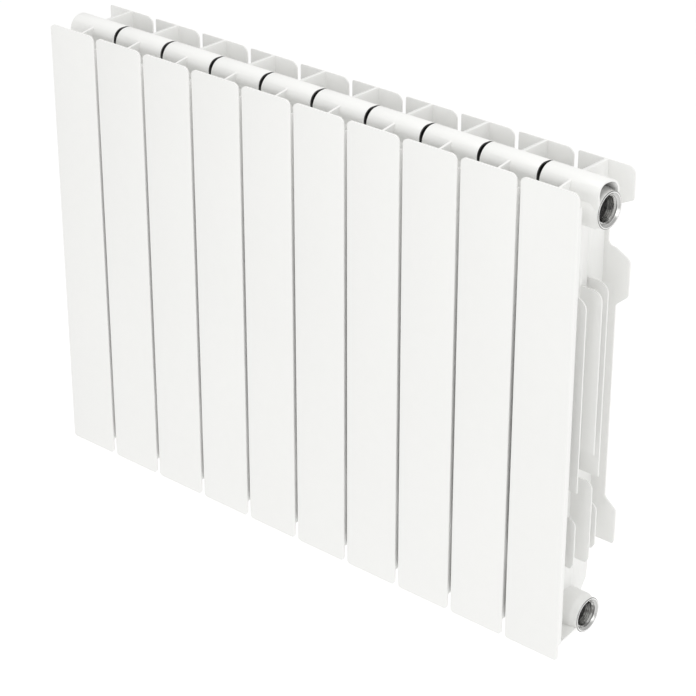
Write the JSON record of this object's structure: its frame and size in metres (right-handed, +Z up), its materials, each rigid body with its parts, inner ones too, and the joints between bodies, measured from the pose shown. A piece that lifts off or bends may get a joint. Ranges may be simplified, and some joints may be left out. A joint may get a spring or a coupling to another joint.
{
  "type": "sectional radiator block",
  "caption": "White sectional aluminium radiator block of identical castings joined at threaded headers, with open ports at both ends, for hanging on wall hooks.",
  "frame": {"origin": "mid-length of the block, on the underside of the upper header where a wall hook carries it; the upper and lower port axes lie in the plane Y = 0", "axes": "+X along the block to the right-hand end seen from the room, +Y towards the wall, +Z up"},
  "size_m": [0.7986, 0.102, 0.571],
  "materials": {
    "white_paint": "satin white powder coat on die-cast aluminium",
    "machined_metal": "bare turned aluminium of the port faces and the cut pipe threads",
    "plug_paint": "satin white powder coat over a pressed aluminium plug",
    "nipple_steel": "zinc-plated steel with a cut thread",
    "gasket": "matt dark fibre and rubber sheet"
  },
  "bodies": {
    "root": {"section_01": "white_paint", "section_02": "white_paint", "section_03": "white_paint", "section_04": "white_paint", "section_05": "white_paint", "section_06": "white_paint", "section_07": "white_paint", "section_08": "white_paint", "section_09": "white_paint", "section_10": "white_paint", "channel_plug_01": "plug_paint", "channel_plug_02": "plug_paint", "channel_plug_03": "plug_paint", "channel_plug_04": "plug_paint", "channel_plug_05": "plug_paint", "channel_plug_06": "plug_paint", "channel_plug_07": "plug_paint", "channel_plug_08": "plug_paint", "channel_plug_09": "plug_paint", "channel_plug_10": "plug_paint", "upper_nipple_01": "nipple_steel", "upper_gasket_01": "gasket", "upper_nipple_02": "nipple_steel", "upper_gasket_02": "gasket", "upper_nipple_03": "nipple_steel", "upper_gasket_03": "gasket", "upper_nipple_04": "nipple_steel", "upper_gasket_04": "gasket", "upper_nipple_05": "nipple_steel", "upper_gasket_05": "gasket", "upper_nipple_06": "nipple_steel", "upper_gasket_06": "gasket", "upper_nipple_07": "nipple_steel", "upper_gasket_07": "gasket", "upper_nipple_08": "nipple_steel", "upper_gasket_08": "gasket", "upper_nipple_09": "nipple_steel", "upper_gasket_09": "gasket", "lower_nipple_01": "nipple_steel", "lower_gasket_01": "gasket", "lower_nipple_02": "nipple_steel", "lower_gasket_02": "gasket", "lower_nipple_03": "nipple_steel", "lower_gasket_03": "gasket", "lower_nipple_04": "nipple_steel", "lower_gasket_04": "gasket", "lower_nipple_05": "nipple_steel", "lower_gasket_05": "gasket", "lower_nipple_06": "nipple_steel", "lower_gasket_06": "gasket", "lower_nipple_07": "nipple_steel", "lower_gasket_07": "gasket", "lower_nipple_08": "nipple_steel", "lower_gasket_08": "gasket", "lower_nipple_09": "nipple_steel", "lower_gasket_09": "gasket"}
  },
  "joints": []
}
